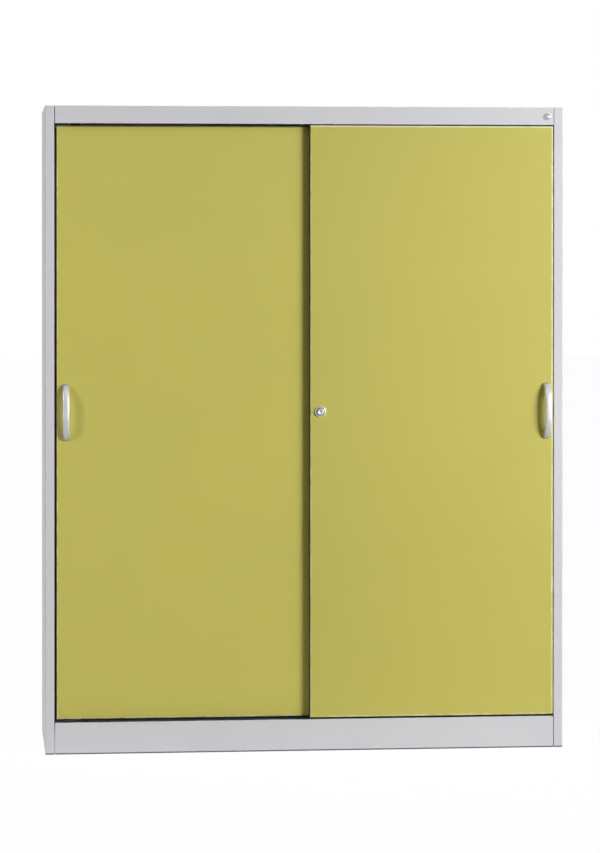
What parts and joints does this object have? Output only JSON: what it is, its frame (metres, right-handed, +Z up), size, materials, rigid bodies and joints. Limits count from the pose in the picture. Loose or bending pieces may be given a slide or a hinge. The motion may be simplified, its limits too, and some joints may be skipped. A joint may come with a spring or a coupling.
{
  "type": "sliding door cabinet",
  "caption": "Tall steel office cabinet with a front and a rear sliding door, bow handles, a push lock and shelves.",
  "frame": {"origin": "middle of the cabinet's footprint, handles included, on the floor", "axes": "+X to the right as seen from the front, +Y towards the back, +Z up"},
  "size_m": [1.6, 0.4536, 1.98],
  "materials": {
    "carcass_grey": "satin light grey powder coat",
    "interior_grey": "satin light grey powder coat, inside",
    "door_lime": "satin yellow-green powder coat",
    "handle_silver": "satin silver coat",
    "lock_chrome": "polished",
    "zinc_steel": "bright zinc plated",
    "black_nylon": "moulded",
    "black_rubber": "moulded"
  },
  "bodies": {
    "carcass": {"side_panel_left": "carcass_grey", "side_panel_right": "carcass_grey", "top_panel": "carcass_grey", "floor_panel": "interior_grey", "front_plinth": "carcass_grey", "rear_base_rail": "carcass_grey", "back_panel_left": "interior_grey", "back_panel_right": "interior_grey", "rail_button": "lock_chrome", "upper_track": "zinc_steel", "lower_track": "zinc_steel", "front_track_stop": "zinc_steel", "rear_track_stop": "zinc_steel", "closing_buffer_left": "black_rubber", "closing_buffer_right": "black_rubber", "centre_partition": "interior_grey", "shelf_post_left_front": "zinc_steel", "shelf_post_right_front": "zinc_steel", "shelf_post_left_rear": "zinc_steel", "shelf_post_right_rear": "zinc_steel", "shelf_left_1": "interior_grey", "shelf_right_1": "interior_grey", "shelf_left_2": "interior_grey", "shelf_right_2": "interior_grey", "shelf_left_3": "interior_grey", "shelf_right_3": "interior_grey", "shelf_left_4": "interior_grey", "shelf_right_4": "interior_grey"},
    "front_door": {"front_door_pan": "door_lime", "front_door_stiffener": "zinc_steel", "front_door_handle": "handle_silver", "front_door_handle_screw_lower": "zinc_steel", "front_door_handle_screw_upper": "zinc_steel", "front_door_carriage_left": "zinc_steel", "front_door_carriage_right": "zinc_steel", "front_door_guide_left": "black_nylon", "front_door_guide_right": "black_nylon", "lock_barrel": "lock_chrome", "lock_nut": "zinc_steel"},
    "rear_door": {"rear_door_pan": "door_lime", "rear_door_stiffener": "zinc_steel", "rear_door_handle": "handle_silver", "rear_door_handle_screw_lower": "zinc_steel", "rear_door_handle_screw_upper": "zinc_steel", "rear_door_carriage_left": "zinc_steel", "rear_door_carriage_right": "zinc_steel", "rear_door_guide_left": "black_nylon", "rear_door_guide_right": "black_nylon", "lock_keeper": "zinc_steel"},
    "lock_plunger": {"lock_plunger": "lock_chrome"},
    "lock_key_core": {"lock_key_core": "lock_chrome"},
    "front_door_wheel_left": {"front_door_wheel_left": "black_nylon"},
    "front_door_wheel_right": {"front_door_wheel_right": "black_nylon"},
    "rear_door_wheel_left": {"rear_door_wheel_left": "black_nylon"},
    "rear_door_wheel_right": {"rear_door_wheel_right": "black_nylon"},
    "levelling_foot_front_left": {"levelling_foot_front_left": "zinc_steel"},
    "levelling_foot_front_right": {"levelling_foot_front_right": "zinc_steel"},
    "levelling_foot_rear_left": {"levelling_foot_rear_left": "zinc_steel"},
    "levelling_foot_rear_right": {"levelling_foot_rear_right": "zinc_steel"}
  },
  "joints": [
    {"name": "front_door_slide", "type": "slide", "parent": "carcass", "child": "front_door", "axis": [1, 0, 0], "range_m": [-0.7, 0]},
    {"name": "rear_door_slide", "type": "slide", "parent": "carcass", "child": "rear_door", "axis": [1, 0, 0], "range_m": [0, 0.7]},
    {"name": "lock_push", "type": "slide", "parent": "front_door", "child": "lock_plunger", "axis": [0, 1, 0], "range_m": [0, 0.008], "stiffness_N_per_m": 500, "springref_m": -0.004},
    {"name": "lock_key_turn", "type": "hinge", "parent": "lock_plunger", "child": "lock_key_core", "pos_m": [0.0442, -0.19175, 1.043], "axis": [0, 1, 0], "range_deg": [0, 90]},
    {"name": "front_door_wheel_left_spin", "type": "hinge", "parent": "front_door", "child": "front_door_wheel_left", "pos_m": [0.1008, -0.18175, 0.1086], "axis": [0, 1, 0], "range_deg": [-3209, 0]},
    {"name": "front_door_wheel_right_spin", "type": "hinge", "parent": "front_door", "child": "front_door_wheel_right", "pos_m": [0.68, -0.18175, 0.1086], "axis": [0, 1, 0], "range_deg": [-3209, 0]},
    {"name": "rear_door_wheel_left_spin", "type": "hinge", "parent": "rear_door", "child": "rear_door_wheel_left", "pos_m": [-0.6765, -0.15175, 0.1086], "axis": [0, 1, 0], "range_deg": [0, 3209]},
    {"name": "rear_door_wheel_right_spin", "type": "hinge", "parent": "rear_door", "child": "rear_door_wheel_right", "pos_m": [-0.02, -0.15175, 0.1086], "axis": [0, 1, 0], "range_deg": [0, 3209]},
    {"name": "levelling_foot_front_left_travel", "type": "slide", "parent": "carcass", "child": "levelling_foot_front_left", "axis": [0, 0, -1], "range_m": [0, 0.012]},
    {"name": "levelling_foot_front_right_travel", "type": "slide", "parent": "carcass", "child": "levelling_foot_front_right", "axis": [0, 0, -1], "range_m": [0, 0.012]},
    {"name": "levelling_foot_rear_left_travel", "type": "slide", "parent": "carcass", "child": "levelling_foot_rear_left", "axis": [0, 0, -1], "range_m": [0, 0.012]},
    {"name": "levelling_foot_rear_right_travel", "type": "slide", "parent": "carcass", "child": "levelling_foot_rear_right", "axis": [0, 0, -1], "range_m": [0, 0.012]}
  ],
  "couplings": [
    {"joint": "front_door_wheel_left_spin", "follows": "front_door_slide", "rad_per_m": 80},
    {"joint": "front_door_wheel_right_spin", "follows": "front_door_slide", "rad_per_m": 80},
    {"joint": "rear_door_wheel_left_spin", "follows": "rear_door_slide", "rad_per_m": 80},
    {"joint": "rear_door_wheel_right_spin", "follows": "rear_door_slide", "rad_per_m": 80}
  ]
}
